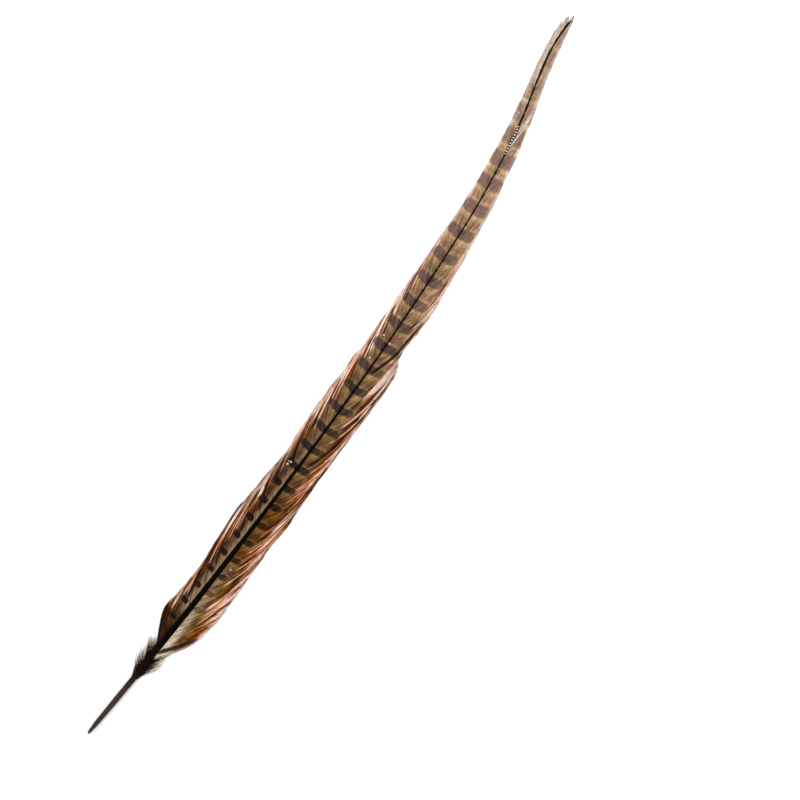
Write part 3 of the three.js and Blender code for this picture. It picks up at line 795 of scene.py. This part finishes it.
    # slight difference from barb to barb, and mottling; the tone also carries a painted shade
    # close to the shaft
    value = addNode(tree, "MapRange", {"Value": threads, 1: 0.0, 2: 1.0, 3: 0.6, 4: 1.24})
    value = addNode(tree, "Math", {0: value, 1: field["tone"]}, operation="ADD")
    patches = addNode(tree, "TexNoise", {"Vector": fleckPlace, "Scale": c["patchScale"],
                                         "Detail": 3.0}, output="Fac")
    patches = addNode(tree, "MapRange", {"Value": patches, 1: 0.25, 2: 0.75, 3: -0.24, 4: 0.24})
    value = addNode(tree, "Math", {0: value, 1: patches}, operation="ADD")
    final = addNode(tree, "HueSaturation", {"Color": dressed, "Value": value,
                                            "Saturation": c["saturation"]})
    # barbules stand every 0.04 mm on a barb, drawn here every 0.3 mm so that they show
    hatchRoot = addNode(tree, "Math", {0: field["streakRoot"], 1: 0.4}, operation="MULTIPLY")
    hatchPlace = addNode(tree, "CombineXYZ", {"X": hatchRoot, "Y": field["along"]})
    hatch = addNode(tree, "TexWave", {"Vector": hatchPlace, "Scale": c["hatchScale"],
                                      "Distortion": 1.5, "Detail": 1.0},
                    output="Fac", bands_direction="Y")
    relief = addNode(tree, "Math", {0: hatch, 1: streaks}, operation="ADD")
    bump = addNode(tree, "Bump", {"Height": relief, "Strength": 0.4, "Distance": 0.06 * mm})
    rough = addNode(tree, "MapRange", {"Value": streaks, 1: 0.3, 2: 0.7, 3: 0.62, 4: 0.46})
    shader = addNode(tree, "BsdfPrincipled", {
        "Base Color": final, "Roughness": rough, "Normal": bump, "IOR": 1.54,
        "Specular IOR Level": 0.06})
    tree.links.new(shader, tree.nodes.new("ShaderNodeOutputMaterial").inputs["Surface"])
    return material


# Both vanes share these. The noises read millimetres, so a scale is one over the size of
# its features: streaks are 4.5 mm wide and threads 1.7 mm, coarser than real barbs so that
# they show, the clouds in the ground 8.3 mm and the mottling 2.4 mm.
barbLooks = {
    "streakScale": 0.22, "threadScale": 0.6, "broadScale": 0.12, "patchScale": 0.42,
    "hatchScale": 1.05,  # times 20 radians a millimetre: one wave in 0.3 mm
    "squareAlong": 3, "squareAcross": 4,  # powers: 2 makes a bar oval, more makes it square
    "edgeContrast": 2.7, "threadContrast": 1.2,
    "hairlines": 0.6, "glints": 0.45,  # how much the dark and the pale threads cover
    "saturation": 1.07, "sheen": "#7a6664", "fleck": "#e4dad0",
}
# The four tones of a ramp stand at the vane's foot, in its lower part, in its upper part and
# where it is faded, at tonesAt along the shaft. Flecks are along, across and radius.
leftColours = {
    **barbLooks,
    "tonesAt": (95, 180, 290, 420),
    "afterBar": ("#3a220e", "#3e2612", "#82624b", "#ab8a6f"),
    "beforeBar": ("#563719", "#5c3d1e", "#a8865f", "#cbad88"),
    "bar": ("#170c07", "#120906", "#483530", "#8d7064"),
    "barEnd": 0.95,  # strength that a bar keeps at its outer end
    "strip": "#9b8268", "frost": "#f1e6d6", "edging": "#4a2418",
    "thread": "#220d07", "rust": "#5e3314", "orange": "#965a30", "salmon": "#d09c80",
    "pale": "#f5dacb", "cream": "#b8a48a", "creamDark": "#8d7a5a",
    "flecks": [(193, 6.2, 0.6), (195, 5.3, 0.7), (194.6, 6.6, 0.3), (270.3, 3.7, 0.7),
               (285.5, 4.6, 0.6), (299.3, 2.6, 0.5), (428.1, 1.0, 0.6), (436.2, 2.9, 0.5)],
}
rightColours = {
    **barbLooks,
    "tonesAt": (100, 165, 258, 420),
    "afterBar": ("#60401f", "#492a0e", "#82624b", "#ae8e73"),
    "beforeBar": ("#846234", "#775329", "#b28f60", "#d3b693"),
    "bar": ("#3c281c", "#140905", "#43302a", "#8f7268"),
    "barEnd": 0.78,
    "strip": "#8a6b45", "frost": "#f1e4d8", "edging": "#4a2215",
    "thread": "#240d06", "rust": "#673a13", "orange": "#95562a", "salmon": "#ce997f",
    "pale": "#f4d8c9", "cream": "#f6e9d4", "creamDark": "#bfaa8a",
    "flecks": [(124.6, 4.8, 0.5), (283.2, 1.3, 0.7), (388.6, 1.0, 0.4), (397.6, 1.6, 0.4),
               (460, 1.6, 0.6)],
}
vaneLeft = buildVane("vaneLeft", leftVane)
finishPiece(vaneLeft, barbMaterial("leftBarbs", leftColours))
vaneRight = buildVane("vaneRight", rightVane)
finishPiece(vaneRight, barbMaterial("rightBarbs", rightColours))
print("vanes made:", len(vaneLeft.data.polygons), len(vaneRight.data.polygons), "triangles")


# The down: loose wavy barbs without hooks, in tufts at the foot of each vane.
down = {
    # root along the shaft, run along it and reach across it of each tuft
    "leftTufts": [[39, 13, 6.2], [43, 12, 7.8], [47.5, 13.5, 7.4], [52, 13, 8.2], [56, 10, 5.8]],
    "rightTufts": [[38.5, 11.5, 5.2], [42.5, 13, 8.0], [47, 12.5, 7.4], [50, 15, 9.2]],
    "hairs": 46,  # of a tuft
    "stations": 12,
    "rootSpread": (-0.5, 5.5), "lengthSpread": (0.35, 1.1), "reachSpread": (0.55, 1.08),
    "thickness": 0.085, "thickSpread": (0.7, 1.3),
    "wave": 0.35, "waveAlong": 0.7,  # waves across, and along as a share of that
    "bend": 1.3,
    "riseSpread": (-0.4, 0.6), "endHeight": (0.15, 1.4), "heightRange": (0.02, 4.5),
    "mottleSize": 1 / 0.7,
    "rootColour": "#160d08", "middleColour": "#3c2a1a", "tipColour": "#d8c9a4",
}


def buildDown(d):
    tufts = [(-1, *tuft) for tuft in d["leftTufts"]] + [(1, *tuft) for tuft in d["rightTufts"]]
    side, root, run, reach = np.repeat(np.array(tufts, float), d["hairs"], axis=0).T
    count = len(side)
    length = rng.uniform(*d["lengthSpread"], count)
    root = root + rng.uniform(*d["rootSpread"], count)
    run, reach = run * length, reach * length * rng.uniform(*d["reachSpread"], count)
    u = np.linspace(0, 1, d["stations"] + 1)
    swing = rng.uniform(0, 2 * pi, (2, count, 1))
    wave = np.sin(6 * u[None] + swing[0]) + 0.6 * np.sin(12 * u[None] + swing[1])
    wave = d["wave"] * u[None] * wave
    grow = (1 - np.exp(-d["bend"] * u)) / (1 - np.exp(-d["bend"]))
    out = reach[:, None] * grow + wave
    along = root[:, None] + run[:, None] * u + d["waveAlong"] * wave[:, ::-1]
    rise = eased(feather["height"], along) + rng.uniform(*d["riseSpread"], (count, 1))
    endHeight = rng.uniform(*d["endHeight"], (count, 1))
    height = rise + (endHeight - rise) * smooth(0, 1, np.abs(out) / np.maximum(1, reach[:, None]))
    thick = d["thickness"] * (1.3 - 0.9 * u[None]) * rng.uniform(*d["thickSpread"], (count, 1))
    near = np.stack([out + thick, along - thick, height], -1)
    far = np.stack([out - thick, along + thick, height], -1)
    ridge = np.stack([out, along, height + 1.6 * thick], -1)
    tip = np.stack([out[:, -1], along[:, -1], height[:, -1]], -1)
    flat = strandPoints(near, far, ridge, tip)
    perHair = 3 * d["stations"] + 1
    points = layOnLine(np.repeat(side, perHair) * flat[:, 0], flat[:, 1],
                       np.clip(flat[:, 2], *d["heightRange"]))
    faces = strandFaces(count, d["stations"]).reshape(count, -1, 3)
    faces[side > 0] = faces[side > 0][:, :, ::-1]
    return meshPiece("down", points, faces.reshape(-1, 3), {
        "barbShare": strandShares(u, count),
        "barbTone": np.repeat(rng.uniform(-1, 1, count), perHair)})


def downMaterial(d):
    # Plumulaceous down: soft unhooked keratin, matt, dark where it grows and bleached buff
    # at its tips.
    material, tree = newMaterial("down")
    share = addNode(tree, "Attribute", output="Fac", attribute_name="barbShare")
    tone = addNode(tree, "Attribute", output="Fac", attribute_name="barbTone")
    place = addNode(tree, "TexCoord", output="Object")
    noise = addNode(tree, "TexNoise", {
        "Vector": place, "Scale": 1 / (d["mottleSize"] * mm), "Detail": 3.0}, output="Fac")
    moved = addNode(tree, "Math", {0: tone, 1: 0.16, 2: share}, operation="MULTIPLY_ADD")
    moved = addNode(tree, "Math", {0: noise, 1: 0.3, 2: moved}, operation="MULTIPLY_ADD")
    colour = addNode(tree, "ValToRGB", {"Fac": moved}, stops=[
        (0.45, d["rootColour"]), (1.0, d["tipColour"]), (0.8, d["middleColour"])])
    bump = addNode(tree, "Bump", {"Height": noise, "Strength": 0.4, "Distance": 0.05 * mm})
    shader = addNode(tree, "BsdfPrincipled", {
        "Base Color": colour, "Roughness": 0.85, "Normal": bump, "IOR": 1.54,
        "Specular IOR Level": 0.05})
    tree.links.new(shader, tree.nodes.new("ShaderNodeOutputMaterial").inputs["Surface"])
    return material


downPiece = buildDown(down)
finishPiece(downPiece, downMaterial(down))
print("down made:", len(downPiece.data.polygons), "triangles")


studio = {
    "floorColour": "#f7f6f4", "floorSize": 8, "worldStrength": 0.86,
    "keyPower": 16.0, "keySize": 1.4, "keyPlace": (-0.5, 0.55, 1.3),
    "viewMiddle": (27.29, 10.18, 2.5), "viewWidth": 459.5, "viewRoll": 34.08,
    "lens": 100, "sensor": 36,
}


def buildStudio(s):
    deselectAll()
    bpy.ops.mesh.primitive_plane_add(size=s["floorSize"], location=(0, 0, 0))
    floor = bpy.context.object
    floor.name = "floor"
    material, tree = newMaterial("paper")
    # Matt white paper: almost no gloss, so it only carries soft light.
    shader = addNode(tree, "BsdfPrincipled", {
        "Base Color": linear(s["floorColour"]), "Roughness": 0.9, "Specular IOR Level": 0.1})
    tree.links.new(shader, tree.nodes.new("ShaderNodeOutputMaterial").inputs["Surface"])
    floor.data.materials.append(material)

    world = bpy.data.worlds.new("studio")
    world.use_nodes = True
    world.node_tree.nodes["Background"].inputs["Color"].default_value = (1, 1, 1, 1)
    world.node_tree.nodes["Background"].inputs["Strength"].default_value = s["worldStrength"]
    bpy.context.scene.world = world

    bpy.ops.object.light_add(type="AREA", location=s["keyPlace"])
    key = bpy.context.object
    key.name = "key"
    key.data.energy, key.data.size = s["keyPower"], s["keySize"]
    key.rotation_euler = (-Vector(s["keyPlace"])).to_track_quat("-Z", "Y").to_euler()

    distance = s["viewWidth"] * s["lens"] / s["sensor"]
    x, y, z = s["viewMiddle"]
    bpy.ops.object.camera_add(location=Vector((x, y, z + distance)) * mm,
                              rotation=(0, 0, radians(s["viewRoll"])))
    camera = bpy.context.object
    camera.data.lens, camera.data.sensor_width = s["lens"], s["sensor"]
    camera.data.clip_start = 0.01
    bpy.context.scene.camera = camera
    bpy.context.scene.view_settings.view_transform = "Standard"


buildStudio(studio)
print("studio made")
